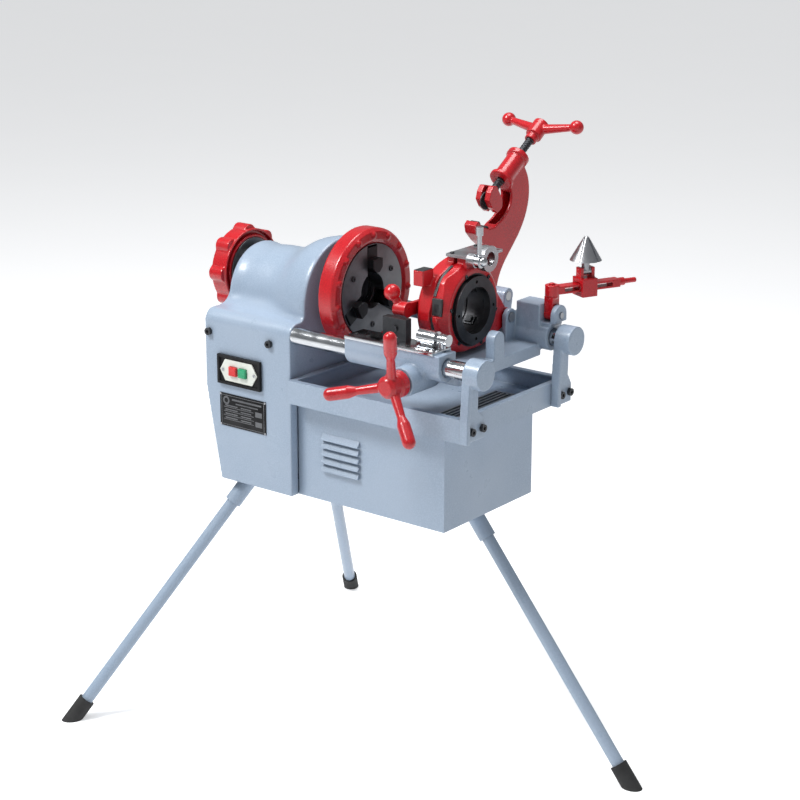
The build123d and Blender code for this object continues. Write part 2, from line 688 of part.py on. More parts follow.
def ball_arm(length, root_r, neck_r, ball_r):
    """Tapered arm along Z with a ball at its end."""
    low = length - math.sqrt(ball_r ** 2 - neck_r ** 2)
    outline = [
        Line((0, 0, 0), (root_r, 0, 0)),
        Line((root_r, 0, 0), (neck_r, 0, low)),
        ThreePointArc((neck_r, 0, low), (ball_r, 0, length), (0, 0, length + ball_r)),
        Line((0, 0, length + ball_r), (0, 0, 0)),
    ]
    return revolve(make_face(outline), axis=Axis.Z)


def feed_handwheel():
    hub_y0, hub_y1 = -226.0, -187.0
    outline = Polyline((0, hub_y1, 0), (23, hub_y1, 0), (23, hub_y1 - 14, 0), (19, hub_y1 - 18, 0),
                       (19, hub_y0 + 6, 0), (13, hub_y0, 0), (0, hub_y0, 0), close=True)
    wheel = Pos(FEED_X, 0, FEED_Z) * revolve(make_face(outline), axis=Axis.Y)
    lean = math.radians(23)
    for angle in (73, 193, 313):
        run_x = math.cos(math.radians(angle)) * math.cos(lean)
        run_z = math.sin(math.radians(angle)) * math.cos(lean)
        root = Plane(origin=(FEED_X, hub_y1 - 20, FEED_Z), z_dir=(run_x, -math.sin(lean), run_z))
        wheel += root * spoke()
    return wheel - rod_y(FEED_SHAFT_R, -214, hub_y1 + 5, FEED_X, FEED_Z)


# ---- Die head ----

def die_head_body():
    profile = make_face(Polyline((DIE_X0, 0, 30), (DIE_X0, 0, 74), (DIE_X0 + 10, 0, DIE_R),
                                 (DIE_X1 - 14, 0, DIE_R), (DIE_X1, 0, 70), (DIE_X1, 0, 30), close=True))
    body = revolve(profile, axis=Axis.X)
    for index in range(8):
        body = body & about_x(block(400, 500, -120, 120, -120, DIE_R - 4), 45 * index + 22.5)
    body = body & block(400, 500, -100, 100, -67, 100)
    body += block(430, 470, -16, 64, 60, 90)
    body += block(DIE_X0 + 2, DIE_X0 + 22, -88, -58, 50, 76)
    ear = plate_yz([(70, 20), (100, -17), (100, -47), (40, -66), (40, -30)], 414, 470)
    body += ear + rod_x(15, 414, 470, *DIE_PIVOT)
    body -= rod_x(PIN_R + FIT, 400, 490, *DIE_PIVOT)
    body -= rod_x(62, DIE_X0 - 1, 431)
    body -= rod_x(DIE_HOLE_R, 400, 500)
    body -= rod_x(58, 468, 480)
    for index in range(4):
        body -= about_x(block(436, 456.1, -8.05, 8.05, 20, 78), 90 * index + 45)
    body -= tube_x(DIE_R + 20, DIE_R - 6, 444, 450)
    body += tube_x(DIE_R - 5.9, DIE_R - 8, 444, 450) & block(440, 455, -100, 100, -67, 60)
    return body - block(446, 466, -104, -74, 2, 32)


def die_face_plate():
    plate = tube_x(57.9, DIE_HOLE_R, 468, 480)
    for index in range(4):
        plate -= about_x(rod_x(3, 476, 481, 0, 49), 90 * index)
    return plate


def cam_plate():
    plate = tube_x(62 - FIT, 38, 414, 431)
    for index in range(4):
        plate -= about_x(block(427, 432, -4, 4, 42, 58), 90 * index + 30)
    return plate


def die_lever():
    """Lever bolted to the cam plate, with a ball grip beyond the head's edge."""
    arm = block(404, 411.5, -92, -44, -2, 20)
    arm += rod_x(9, 404, 414, -50, 9)
    arm += rod_x(13, 386, 411.5, -96, 9)
    return arm + Plane(origin=(395, -97, 10), z_dir=(-0.5, -0.1, 0.86)) * ball_arm(30, 8, 7, 14)


def die(index):
    chaser = block(436.1, 456, -8, 8, DIE_OPEN_R + 4, 74) + block(440, 452, -5, 5, DIE_OPEN_R, 40)
    return about_x(chaser, 90 * index + 45)


def lock_housing():
    """Bright plate on the head's pad, with an eye and a boss standing in front of the face."""
    plate = block(432, 488, LOCK_Y - 10, 62, 90, 95)
    eye = tube_x(22, 12, 474.2, 488, LOCK_EYE_Y, LOCK_EYE_Z) + block(474.2, 484, LOCK_Y, LOCK_EYE_Y - 14, 78, 92)
    boss = rod_x(12, 474.2, 488, LOCK_Y, LOCK_Z)
    return plate + eye + boss - rod_x(12, 470, 490, LOCK_EYE_Y, LOCK_EYE_Z)


def lock_knob():
    """Size lock: a round clamp head with its lever, on the boss of the lock housing."""
    knob = rod_x(11, 488, 498, LOCK_Y, LOCK_Z)
    knob += Pos(500, LOCK_Y, LOCK_Z) * Sphere(8)
    knob += rod_z(4, LOCK_Z, LOCK_Z + 50, 493, LOCK_Y)
    return knob + rod_z(6.2, LOCK_Z + 44, LOCK_Z + 58, 493, LOCK_Y)


# ---- Cutter ----

def along_screw(distance, across=0.0):
    """Point on the screw axis, with an offset across it."""
    dy, dz = SCREW_DIR
    return (SCREW_START[0] + dy * distance - dz * across, SCREW_START[1] + dz * distance + dy * across)


def cutter_frame():
    """C-shaped arm: two flanges and a web, a jaw with two rollers and a nose for the feed screw."""
    x0, x1 = CUT_X - CUT_HALF, CUT_X + CUT_HALF
    y, z = CUT_PIVOT

    def at(point):
        return (x0, point[0], point[1])

    back = [(y + 16, z), (190, 34), (226, 70), (256, 112), (265, 150), along_screw(96, -14)]
    throat = [along_screw(44, -17), (211, 146), (200, 126), (172, 109)]
    jaw = [(160, 103), (143, 103), (122, 111), (111, 122), (103, 115), (106, 101), (122, 85), (140, 72),
           (148, 50), (y - 16, z)]
    edges = [
        Spline(*[at(point) for point in back]),
        Line(at(back[-1]), at(along_screw(96))),
        Line(at(along_screw(96)), at(along_screw(44))),
        Line(at(along_screw(44)), at(throat[0])),
        Spline(*[at(point) for point in throat]),
        Polyline(*[at(point) for point in [throat[-1]] + jaw + [back[0]]]),
    ]
    frame = extrude(make_face(edges), amount=2 * CUT_HALF, dir=(1, 0, 0)) + rod_x(16, x0, x1, y, z)
    for start, end, radius in ((44, 102, 17), (40, 47, 22), (96, 106, 20.5)):
        frame += rod_between((CUT_X, *along_screw(start)), (CUT_X, *along_screw(end)), radius)
    frame -= rod_between((CUT_X, *along_screw(20)), (CUT_X, *along_screw(120)), SCREW_R + FIT)
    frame -= plate_yz([(198, 148), (222, 163), (249, 160), (252, 148), (244, 116), (217, 80), (188, 50),
                       (172, 62), (164, 88), (172, 120), (196, 134)], CUT_X - 7.5, CUT_X + 7.5)
    for roller_y, roller_z in ROLLERS:
        frame -= rod_x(11, CUT_X - 7, CUT_X + 7, roller_y, roller_z)
        frame -= rod_x(3, x0 - 1, x1 + 1, roller_y, roller_z)
    return frame - rod_x(PIN_R + FIT, x0 - 1, x1 + 1, y, z)


def cutter_roller(index):
    y, z = ROLLERS[index]
    return tube_x(8.5, 3 + FIT, CUT_X - 6.8, CUT_X + 6.8, y, z)


def roller_pins():
    pins = Part()
    for y, z in ROLLERS:
        pins += rod_x(3, CUT_X - CUT_HALF, CUT_X + CUT_HALF, y, z)
    return pins


def cutter_slide():
    """Sliding block on the end of the feed screw, with a fork for the cutting wheel."""
    body = plate_yz([along_screw(12, -17), along_screw(12, 14), along_screw(4, 21), along_screw(-8, 17),
                     along_screw(-19, 8), along_screw(-19, -9), along_screw(-12, -27), along_screw(4, -28)],
                    CUT_X - SLIDE_HALF, CUT_X + SLIDE_HALF)
    y, z = along_screw(-12)
    body -= plate_yz([along_screw(6, -32), along_screw(6, 24), along_screw(-40, 24), along_screw(-40, -32)],
                     CUT_X - 4, CUT_X + 4)
    return body - rod_x(3, CUT_X - 20, CUT_X + 20, y, z)


def cutter_wheel():
    y, z = along_screw(-12)
    wheel = tube_x(8, 3 + FIT, CUT_X - 3.8, CUT_X + 3.8, y, z)
    disc = tube_x(16, 3 + FIT, CUT_X - 1, CUT_X + 1, y, z)
    return wheel + disc


def wheel_pin():
    y, z = along_screw(-12)
    return rod_x(3, CUT_X - SLIDE_HALF, CUT_X + SLIDE_HALF, y, z)


def cutter_screw():
    start, end = along_screw(12), along_screw(166)
    return rod_between((CUT_X, *start), (CUT_X, *end), SCREW_R)


def cutter_handle():
    """T-handle: a hub on the screw and two arms that lean outwards to ball ends."""
    handle = rod_between((CUT_X, *along_screw(158)), (CUT_X, *along_screw(190)), 15)
    handle += rod_between((CUT_X, *along_screw(146)), (CUT_X, *along_screw(160)), 11)
    lean = 0.24
    for side in (-1, 1):
        direction = (side, lean * SCREW_DIR[0], lean * SCREW_DIR[1])
        handle += Plane(origin=(CUT_X, *along_screw(175)), z_dir=direction) * ball_arm(74, 9.5, 6.5, 12.5)
    return handle - rod_between((CUT_X, *along_screw(130)), (CUT_X, *along_screw(166)), SCREW_R)


# ---- Reamer ----

def reamer_arm():
    arm = rod_x(11, 531.1, 548.9, REAM_Y, REAM_Z) + block(531.1, 548.9, REAM_Y - 10, REAM_Y + 10, REAM_Z, 8)
    arm += rod_z(11, 4, BAR_Z - 9, ELBOW_X, REAM_Y)
    arm += rod_z(5, BAR_Z - 10, BAR_Z + 13, ELBOW_X, REAM_Y)
    return arm - rod_x(5 + FIT, 520, 560, REAM_Y, REAM_Z)


def swung(part):
    """Turn a part of the reamer about the elbow's upright axis to where it rests."""
    return Pos(ELBOW_X, REAM_Y, 0) * Rot(0, 0, REAM_SWING) * Pos(-ELBOW_X, -REAM_Y, 0) * part


def reamer_bar():
    bar = rod_z(12, BAR_Z - 8.9, BAR_Z + 10, ELBOW_X, REAM_Y)
    link = block(ELBOW_X, 672, REAM_Y - 10, REAM_Y + 10, BAR_Z - 7, BAR_Z + 7)
    for x0, x1 in ((560, 590), (622, 656)):
        link -= block(x0, x1, REAM_Y - 11, REAM_Y + 11, BAR_Z - 3, BAR_Z + 3)
    bar += link + rod_x(7, 670, 684, REAM_Y, BAR_Z) + rod_x(4.5, 680, 708, REAM_Y, BAR_Z)
    return swung(bar - rod_z(5 + FIT, BAR_Z - 12, BAR_Z + 14, ELBOW_X, REAM_Y))


def reamer_hub():
    hub = block(HUB_X - 15, HUB_X + 15, REAM_Y - 17, REAM_Y + 17, BAR_Z - 16, BAR_Z + 16)
    hub += block(HUB_X - 14, HUB_X - 8, REAM_Y - 8, REAM_Y + 8, BAR_Z + 16, BAR_Z + 34)
    hub += block(HUB_X + 8, HUB_X + 14, REAM_Y - 8, REAM_Y + 8, BAR_Z + 16, BAR_Z + 34)
    hub -= block(HUB_X - 20, HUB_X + 20, REAM_Y - 10 - FIT, REAM_Y + 10 + FIT, BAR_Z - 7 - FIT, BAR_Z + 7 + FIT)
    return swung(hub + rod_x(3.5, HUB_X - 16, HUB_X + 16, REAM_Y, BAR_Z + 27))


def reamer_cone():
    z0 = BAR_Z + 46
    neck = rod_z(7, BAR_Z + 28, z0, HUB_X, REAM_Y) + rod_x(7, HUB_X - 7.9, HUB_X + 7.9, REAM_Y, BAR_Z + 27)
    cone = Pos(HUB_X, REAM_Y, z0 + CONE_H / 2) * Cone(CONE_R, 1.5, CONE_H)
    for index in range(5):
        flute = Pos(17.2, 0, CONE_H / 2) * Rot(0, -31, 0) * Box(9, 4, 80)
        flute = Pos(HUB_X, REAM_Y, z0) * Rot(0, 0, 72 * index) * flute
        cone -= flute
    return swung(neck + cone - rod_x(3.5 + FIT, HUB_X - 20, HUB_X + 20, REAM_Y, BAR_Z + 27))


NODES = {
    "headstock_casing": headstock_casing,
    "base_box": lambda: base_box() + leg_sockets(),
    "drip_tray": drip_tray,
    "front_rail": front_rail,
    "rear_rail": rear_rail,
    "rail_posts": lambda: rail_post(-1) + rail_post(1),
    "cap_screws": cap_screws,
    "switch_bezel": switch_bezel,
    "switch_plate": switch_plate,
    "stop_button": lambda: push_button(SWITCH_X - 11),
    "start_button": lambda: push_button(SWITCH_X + 11),
    "bearing_frame": bearing_frame,
    "spindle_bushes": lambda: bush(FRONT_PLATE_X) + bush(REAR_PLATE_X),
    "spindle_tube": spindle_tube,
    "ring_gear": ring_gear,
    "countershaft_2": lambda: countershaft_2() + gear_2(),
    "countershaft_1": lambda: countershaft_1() + gear_1(),
    "motor_rotor": motor_rotor,
    "motor_housing": motor_housing,
    "oil_pump": oil_pump,
    "cable_gland": cable_gland,
    "legs": lambda: leg(0) + leg(1) + leg(2),
    "feet": feet,
    "front_chuck_body": front_chuck_body,
    "front_chuck_wheel": front_chuck_wheel,
    "front_jaw_1": lambda: front_jaw(0),
    "front_jaw_2": lambda: front_jaw(1),
    "front_jaw_3": lambda: front_jaw(2),
    "rear_chuck_body": rear_chuck_body,
    "rear_chuck_wheel": rear_chuck_wheel,
    "rear_jaw_1": lambda: rear_jaw(0),
    "rear_jaw_2": lambda: rear_jaw(1),
    "rear_jaw_3": lambda: rear_jaw(2),
    "carriage_casting": carriage_casting,
    "stop_block": stop_block,
    "oil_valve": oil_valve,
    "swing_pins": lambda: swing_pin() + cutter_pin() + reamer_pin(),
    "pinion_shaft": pinion_shaft,
    "feed_handwheel": feed_handwheel,
    "die_head_body": die_head_body,
    "die_face_plate": die_face_plate,
    "cam_plate": cam_plate,
    "die_lever": die_lever,
    "die_1": lambda: die(0),
    "die_2": lambda: die(1),
    "die_3": lambda: die(2),
    "die_4": lambda: die(3),
    "lock_housing": lock_housing,
    "lock_knob": lock_knob,
    "cutter_frame": lambda: cutter_frame() + roller_pins(),
    "cutter_roller_1": lambda: cutter_roller(0),
    "cutter_roller_2": lambda: cutter_roller(1),
    "cutter_slide": lambda: cutter_slide() + wheel_pin(),
    "cutter_wheel": cutter_wheel,
    "cutter_screw": cutter_screw,
    "cutter_handle": cutter_handle,
    "reamer_arm": reamer_arm,
    "reamer_bar": reamer_bar,
    "reamer_hub": reamer_hub,
    "reamer_cone": reamer_cone,
}

os.makedirs("parts", exist_ok=True)
for name, build in NODES.items():
    print(name)
    export_step(build(), f"parts/{name}.step")
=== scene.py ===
import json
import math

import bmesh
import bpy
from mathutils import Matrix, Vector


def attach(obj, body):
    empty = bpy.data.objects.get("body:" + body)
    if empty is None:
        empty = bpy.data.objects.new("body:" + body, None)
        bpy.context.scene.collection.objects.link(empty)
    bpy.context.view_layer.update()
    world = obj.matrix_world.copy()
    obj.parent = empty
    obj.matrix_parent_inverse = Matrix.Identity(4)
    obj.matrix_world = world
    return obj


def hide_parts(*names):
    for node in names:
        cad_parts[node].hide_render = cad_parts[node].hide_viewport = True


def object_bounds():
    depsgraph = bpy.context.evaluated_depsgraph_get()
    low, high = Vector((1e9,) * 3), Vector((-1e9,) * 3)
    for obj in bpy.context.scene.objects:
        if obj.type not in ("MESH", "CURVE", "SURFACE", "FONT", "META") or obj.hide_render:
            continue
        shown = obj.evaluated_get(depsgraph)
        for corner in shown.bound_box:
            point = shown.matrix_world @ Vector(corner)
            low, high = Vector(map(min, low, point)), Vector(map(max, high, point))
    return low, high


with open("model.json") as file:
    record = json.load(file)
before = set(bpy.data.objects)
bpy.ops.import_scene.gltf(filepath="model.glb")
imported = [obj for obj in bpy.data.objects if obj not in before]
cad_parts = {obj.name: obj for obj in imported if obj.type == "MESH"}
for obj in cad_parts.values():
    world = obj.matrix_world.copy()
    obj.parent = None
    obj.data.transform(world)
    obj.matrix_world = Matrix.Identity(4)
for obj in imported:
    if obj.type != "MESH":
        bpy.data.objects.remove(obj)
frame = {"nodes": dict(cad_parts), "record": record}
cad_low, cad_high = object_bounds()
nodes = frame["nodes"]
bodies = frame["record"]["behaviour"]["bodies"]
BODY_OF = {node: body for body, members in bodies.items() for node in members}
SLOT_OF = {entry["node"]: entry["material_slot"] for entry in frame["record"]["subparts"]}
MM = 0.001


# ---- Materials ----

class Shader:
    """A small wrapper round one material's node tree."""

    def __init__(self, name):
        self.material = bpy.data.materials.new(name)
        self.material.use_nodes = True
        self.tree = self.material.node_tree
        self.tree.nodes.clear()
        self.output = self.tree.nodes.new("ShaderNodeOutputMaterial")
        self.bsdf = self.tree.nodes.new("ShaderNodeBsdfPrincipled")
        self.link(self.bsdf, "BSDF", self.output, "Surface")
        self.coords = self.tree.nodes.new("ShaderNodeTexCoord")

    def link(self, source, output, target, inlet):
        self.tree.links.new(source.outputs[output], target.inputs[inlet])

    def mapping(self, stretch=(1, 1, 1)):
        node = self.tree.nodes.new("ShaderNodeMapping")
        node.inputs["Scale"].default_value = stretch
        self.link(self.coords, "Object", node, "Vector")
        return node

    def noise(self, scale, detail=3.0, stretch=(1, 1, 1), rough=0.5):
        node = self.tree.nodes.new("ShaderNodeTexNoise")
        node.inputs["Scale"].default_value = scale
        node.inputs["Detail"].default_value = detail
        node.inputs["Roughness"].default_value = rough
        self.link(self.mapping(stretch), "Vector", node, "Vector")
        return node

    def ramp(self, source, output, stops):
        node = self.tree.nodes.new("ShaderNodeValToRGB")
        ramp = node.color_ramp
        while len(ramp.elements) < len(stops):
            ramp.elements.new(0.5)
        for element, (place, colour) in zip(ramp.elements, stops):
            element.position = place
            element.color = (*colour, 1) if len(colour) == 3 else colour
        self.link(source, output, node, "Fac")
        return node

    def mix(self, factor, a, b, blend="MIX"):
        """Mix two colour sources; each is a (node, output) pair or a colour."""
        node = self.tree.nodes.new("ShaderNodeMix")
        node.data_type = "RGBA"
        node.blend_type = blend
        self.feed(factor, node.inputs["Factor"])
        self.feed(a, node.inputs[6])
        self.feed(b, node.inputs[7])
        return (node, 2)

    def math(self, operation, a, b=0.0, clamp=False):
        node = self.tree.nodes.new("ShaderNodeMath")
        node.operation = operation
        node.use_clamp = clamp
        self.feed(a, node.inputs[0])
        self.feed(b, node.inputs[1])
        return (node, 0)

    def feed(self, source, inlet):
        if isinstance(source, tuple) and hasattr(source[0], "outputs"):
            self.tree.links.new(source[0].outputs[source[1]], inlet)
        elif isinstance(source, (int, float)):
            inlet.default_value = source
        else:
            inlet.default_value = (*source, 1) if len(source) == 3 else source

    def bump(self, height, distance, strength=1.0, below=None):
        node = self.tree.nodes.new("ShaderNodeBump")
        node.inputs["Distance"].default_value = distance
        node.inputs["Strength"].default_value = strength
        self.feed(height, node.inputs["Height"])
        if below is not None:
            self.link(below, "Normal", node, "Normal")
        return node

    def edge_mask(self, radius, low, high):
        """1 along convex and concave edges: the bevelled normal differs from the true one."""
        bevel = self.tree.nodes.new("ShaderNodeBevel")
        bevel.samples = 4
        bevel.inputs["Radius"].default_value = radius
        geometry = self.tree.nodes.new("ShaderNodeNewGeometry")
        dot = self.tree.nodes.new("ShaderNodeVectorMath")
        dot.operation = "DOT_PRODUCT"
        self.link(bevel, "Normal", dot, 0)
        self.link(geometry, "Normal", dot, 1)
        turned = self.math("SUBTRACT", 1.0, (dot, "Value"))
        spread = self.tree.nodes.new("ShaderNodeMapRange")
        spread.inputs["From Min"].default_value = low
        spread.inputs["From Max"].default_value = high
        self.feed(turned, spread.inputs["Value"])
        return (spread, 0)

    def crevice(self, distance):
        node = self.tree.nodes.new("ShaderNodeAmbientOcclusion")
        node.samples = 4
        node.inputs["Distance"].default_value = distance
        return (node, "AO")


STEEL_EDGE = (0.42, 0.42, 0.43)


def paint(name, colour, shade, roughness, texture, chipping, coat):
    """Sprayed enamel: slow colour drift, orange-peel bump, chips on edges, painted shade in corners."""
    s = Shader(name)
    drift = s.noise(9, 4)
    base = s.mix((s.ramp(drift, "Fac", [(0.35, (0, 0, 0)), (0.65, (1, 1, 1))]), "Color"), colour, shade)
    speck = s.noise(420, 2)
    speckled = s.mix((s.ramp(speck, "Fac", [(0.44, (0, 0, 0)), (0.62, (1, 1, 1))]), "Color"),
                     base, [min(1, c * 1.04 + 0.004) for c in colour])
    # Painted shade: ambient occlusion darkens corners and recesses towards a dark copy of the paint.
    corner_shade = s.math("SUBTRACT", 1.0, s.crevice(0.012), True)
    corner_shade = s.math("MULTIPLY", corner_shade, 0.55, True)
    shaded_paint = s.mix(corner_shade, speckled, [c * 0.28 for c in colour])
    edges = s.edge_mask(0.0012, 0.04, 0.2)
    flakes = s.ramp(s.noise(75, 5, rough=0.7), "Fac", [(0.50, (0, 0, 0)), (0.58, (1, 1, 1))])
    chips = s.math("MULTIPLY", edges, (flakes, "Color"))
    chips = s.math("MULTIPLY", chips, chipping, True)
    s.feed(s.mix(chips, shaded_paint, STEEL_EDGE), s.bsdf.inputs["Base Color"])
    smear = s.ramp(s.noise(22, 5), "Fac", [(0.3, (roughness - 0.06,) * 3), (0.7, (roughness + 0.10,) * 3)])
    s.feed(s.mix(chips, (smear, "Color"), (0.45,) * 3), s.bsdf.inputs["Roughness"])
    s.feed(s.math("MULTIPLY", chips, 0.8), s.bsdf.inputs["Metallic"])
    s.bsdf.inputs["Coat Weight"].default_value = coat
    s.bsdf.inputs["Coat Roughness"].default_value = roughness * 0.45
    peel = s.bump((s.noise(texture, 2), "Fac"), 0.0005, 0.14)
    s.link(s.bump(s.math("SUBTRACT", 1.0, chips), 0.0003, 0.5, peel), "Normal", s.bsdf, "Normal")
    return s.material


def metal(name, colour, shade, roughness, grain, depth, stretch=(1, 1, 1), metallic=1.0):
    """Machined or oxidised metal: directional grain, stains and bright worn edges."""
    s = Shader(name)
    patches = s.ramp(s.noise(28, 5, rough=0.6), "Fac", [(0.38, (0, 0, 0)), (0.66, (1, 1, 1))])
    base = s.mix((patches, "Color"), colour, shade)
    lines = s.noise(grain, 4, stretch)
    grained = s.mix((s.ramp(lines, "Fac", [(0.35, (0, 0, 0)), (0.7, (0.3,) * 3)]), "Color"),
                    base, [c * 0.5 for c in colour])
    edge = s.math("MULTIPLY", s.edge_mask(0.0010, 0.05, 0.25), 0.55, True)
    s.feed(s.mix(edge, grained, [min(1.0, c * 1.6 + 0.12) for c in colour]), s.bsdf.inputs["Base Color"])
    s.bsdf.inputs["Metallic"].default_value = metallic
    rough = s.ramp(s.noise(40, 4), "Fac", [(0.3, (roughness - 0.05,) * 3), (0.7, (roughness + 0.12,) * 3)])
    s.feed((rough, "Color"), s.bsdf.inputs["Roughness"])
    s.link(s.bump((lines, "Fac"), 0.0004, depth), "Normal", s.bsdf, "Normal")
    return s.material


def plastic(name, colour, roughness, texture=900, depth=0.12):
    """Moulded plastic or rubber: fine grain, slow gloss change, dust and painted shade in corners."""
    s = Shader(name)
    drift = s.ramp(s.noise(35, 4), "Fac", [(0.35, (0, 0, 0)), (0.7, (1, 1, 1))])
    base = s.mix((drift, "Color"), colour, [min(1, c * 1.15 + 0.012) for c in colour])
    # Ambient occlusion mixes corners towards a darker copy of light colours, which is painted shade, and
    # towards a dusty grey on the darkest plastics.
    dust_and_shade = s.math("MULTIPLY", s.math("SUBTRACT", 1.0, s.crevice(0.006), True), 0.35, True)
    s.feed(s.mix(dust_and_shade, base, [c * 0.4 + 0.03 for c in colour]), s.bsdf.inputs["Base Color"])
    rough = s.ramp(s.noise(60, 3), "Fac", [(0.3, (roughness - 0.05,) * 3), (0.7, (roughness + 0.08,) * 3)])
    s.feed((rough, "Color"), s.bsdf.inputs["Roughness"])
    s.link(s.bump((s.noise(texture, 2), "Fac"), 0.0003, depth), "Normal", s.bsdf, "Normal")
    return s.material


LOOKS = {
    "grey_paint": paint("grey_paint", (0.34, 0.42, 0.525), (0.30, 0.385, 0.495),
                        roughness=0.32, texture=260, chipping=0.25, coat=0.25),
    "red_paint": paint("red_paint", (0.56, 0.007, 0.013), (0.43, 0.006, 0.013),
                       roughness=0.28, texture=120, chipping=0.22, coat=0.35),
    "rail_chrome": metal("rail_chrome", (0.66, 0.68, 0.70), (0.56, 0.58, 0.61),
                         roughness=0.16, stretch=(1, 14, 14), grain=60, depth=0.05),
    "machined_steel": metal("machined_steel", (0.52, 0.53, 0.55), (0.42, 0.43, 0.45),
                            roughness=0.33, stretch=(1, 9, 9), grain=120, depth=0.12),
    "dark_steel": metal("dark_steel", (0.075, 0.077, 0.082), (0.045, 0.047, 0.052),
                        roughness=0.42, stretch=(1, 5, 5), grain=120, depth=0.2, metallic=0.85),
    "cast_iron": metal("cast_iron", (0.12, 0.12, 0.125), (0.08, 0.08, 0.085),
                       roughness=0.6, grain=300, depth=0.5, metallic=0.6),
    "black_plastic": plastic("black_plastic", (0.012, 0.012, 0.014), roughness=0.38),
    "cream_plastic": plastic("cream_plastic", (0.68, 0.70, 0.64), roughness=0.35),
    "red_plastic": plastic("red_plastic", (0.62, 0.02, 0.02), roughness=0.25),
    "green_plastic": plastic("green_plastic", (0.01, 0.30, 0.13), roughness=0.25),
    "bronze": metal("bronze", (0.50, 0.33, 0.13), (0.40, 0.26, 0.10),
                    roughness=0.32, stretch=(1, 6, 6), grain=120, depth=0.15),
    "rubber": plastic("rubber", (0.018, 0.018, 0.018), roughness=0.72, texture=500, depth=0.3),
}


def turned(name, colour, shade, roughness, spacing, depth):
    """Face turned in a lathe: fine rings about the X axis, stains and bright edges."""
    s = Shader(name)
    patches = s.ramp(s.noise(18, 5, rough=0.6), "Fac", [(0.38, (0, 0, 0)), (0.66, (1, 1, 1))])
    base = s.mix((patches, "Color"), colour, shade)
    rings = s.tree.nodes.new("ShaderNodeTexWave")
    rings.wave_type = "RINGS"
    rings.rings_direction = "X"
    rings.inputs["Scale"].default_value = spacing
    rings.inputs["Distortion"].default_value = 0.4
    s.link(s.coords, "Object", rings, "Vector")
    edge = s.math("MULTIPLY", s.edge_mask(0.0010, 0.05, 0.25), 0.5, True)
    s.feed(s.mix(edge, base, [min(1.0, c * 1.6 + 0.12) for c in colour]), s.bsdf.inputs["Base Color"])
    s.bsdf.inputs["Metallic"].default_value = 0.9
    rough = s.ramp(s.noise(30, 4), "Fac", [(0.3, (roughness - 0.05,) * 3), (0.7, (roughness + 0.1,) * 3)])
    s.feed((rough, "Color"), s.bsdf.inputs["Roughness"])
    s.link(s.bump((rings, "Fac"), 0.0003, depth), "Normal", s.bsdf, "Normal")
    return s.material


CHUCK_STEEL = turned("chuck_steel", (0.20, 0.205, 0.215), (0.13, 0.135, 0.145),
                     roughness=0.34, spacing=160, depth=0.25)
FACE_STEEL = turned("face_steel", (0.085, 0.087, 0.093), (0.055, 0.057, 0.062),
                    roughness=0.36, spacing=200, depth=0.3)
BORE_STEEL = turned("bore_steel", (0.10, 0.10, 0.105), (0.05, 0.05, 0.055),
                    roughness=0.45, spacing=260, depth=0.3)
JAW_STEEL = metal("jaw_steel", (0.035, 0.035, 0.038), (0.02, 0.02, 0.022),
                  roughness=0.34, stretch=(1, 5, 5), grain=120, depth=0.2, metallic=0.85)
PLATE_BLACK = plastic("plate_black", (0.005, 0.005, 0.006), roughness=0.5, texture=300, depth=0.2)
PLATE_BLACK.node_tree.nodes["Principled BSDF"].inputs["Specular IOR Level"].default_value = 0.22
MARK_STEEL = metal("mark_steel", (0.20, 0.205, 0.215), (0.12, 0.125, 0.135),
                   roughness=0.5, grain=200, depth=0.2, metallic=0.7)
BAND_STEEL = metal("band_steel", (0.11, 0.115, 0.12), (0.07, 0.075, 0.08),
                   roughness=0.45, stretch=(6, 1, 1), grain=90, depth=0.2, metallic=0.8)


def wear(obj, slot, material=None):
    """Give an object one material: the one given, or else the look of the record's slot."""
    obj.data.materials.clear()
    obj.data.materials.append(material or LOOKS[slot])


# ---- Mesh helpers ----

# Sizes in millimetres, angles between faces in degrees.
CAST_PASSES = 6         # smoothing passes on a large casting
MELT_PASSES = 4         # the same, on a small one
WELD_GAP = 0.01
ROLL_ANGLE = 32         # a CAD node's edges above this are rolled
JOIN_ANGLE = 40         # a built piece's edges above this are rolled
SHARP_ANGLE = 35        # edges above this stay crisp
SMALL_SHARP = 30        # the same, on screws and bands
THREAD_SHARP = 40       # the same, on the feed screw
ALL_SMOOTH = 180


def add_object(name, data):
    """A new object in the scene, from its mesh, camera or light."""
    obj = bpy.data.objects.new(name, data)
    bpy.context.scene.collection.objects.link(obj)
    return obj


def applied(obj):
    """Turn an object's modifiers into its own mesh."""
    graph = bpy.context.evaluated_depsgraph_get()
    mesh = bpy.data.meshes.new_from_object(obj.evaluated_get(graph))
    obj.modifiers.clear()
    obj.data = mesh
    return obj


def shade_by_angle(mesh, degrees):
    limit = math.radians(degrees)
    work = bmesh.new()
    work.from_mesh(mesh)
    for face in work.faces:
        face.smooth = True
    for edge in work.edges:
        sharp = len(edge.link_faces) != 2 or edge.calc_face_angle(0) > limit
        edge.smooth = not sharp
    work.to_mesh(mesh)
    work.free()


def cast_copy(node, voxel, passes=CAST_PASSES):
    """A casting: the CAD node with its edges and corners melted into small fillets."""
    obj = add_object(node + "_cast", nodes[node].data.copy())
    remesh = obj.modifiers.new("remesh", "REMESH")
    remesh.mode = "VOXEL"
    remesh.voxel_size = voxel * MM
    remesh.adaptivity = 0
    smooth = obj.modifiers.new("smooth", "SMOOTH")
    smooth.factor = 0.5
    smooth.iterations = passes
    applied(obj)
    shade_by_angle(obj.data, ALL_SMOOTH)
    wear(obj, SLOT_OF[node])
    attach(obj, BODY_OF[node])
    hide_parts(node)
    return obj


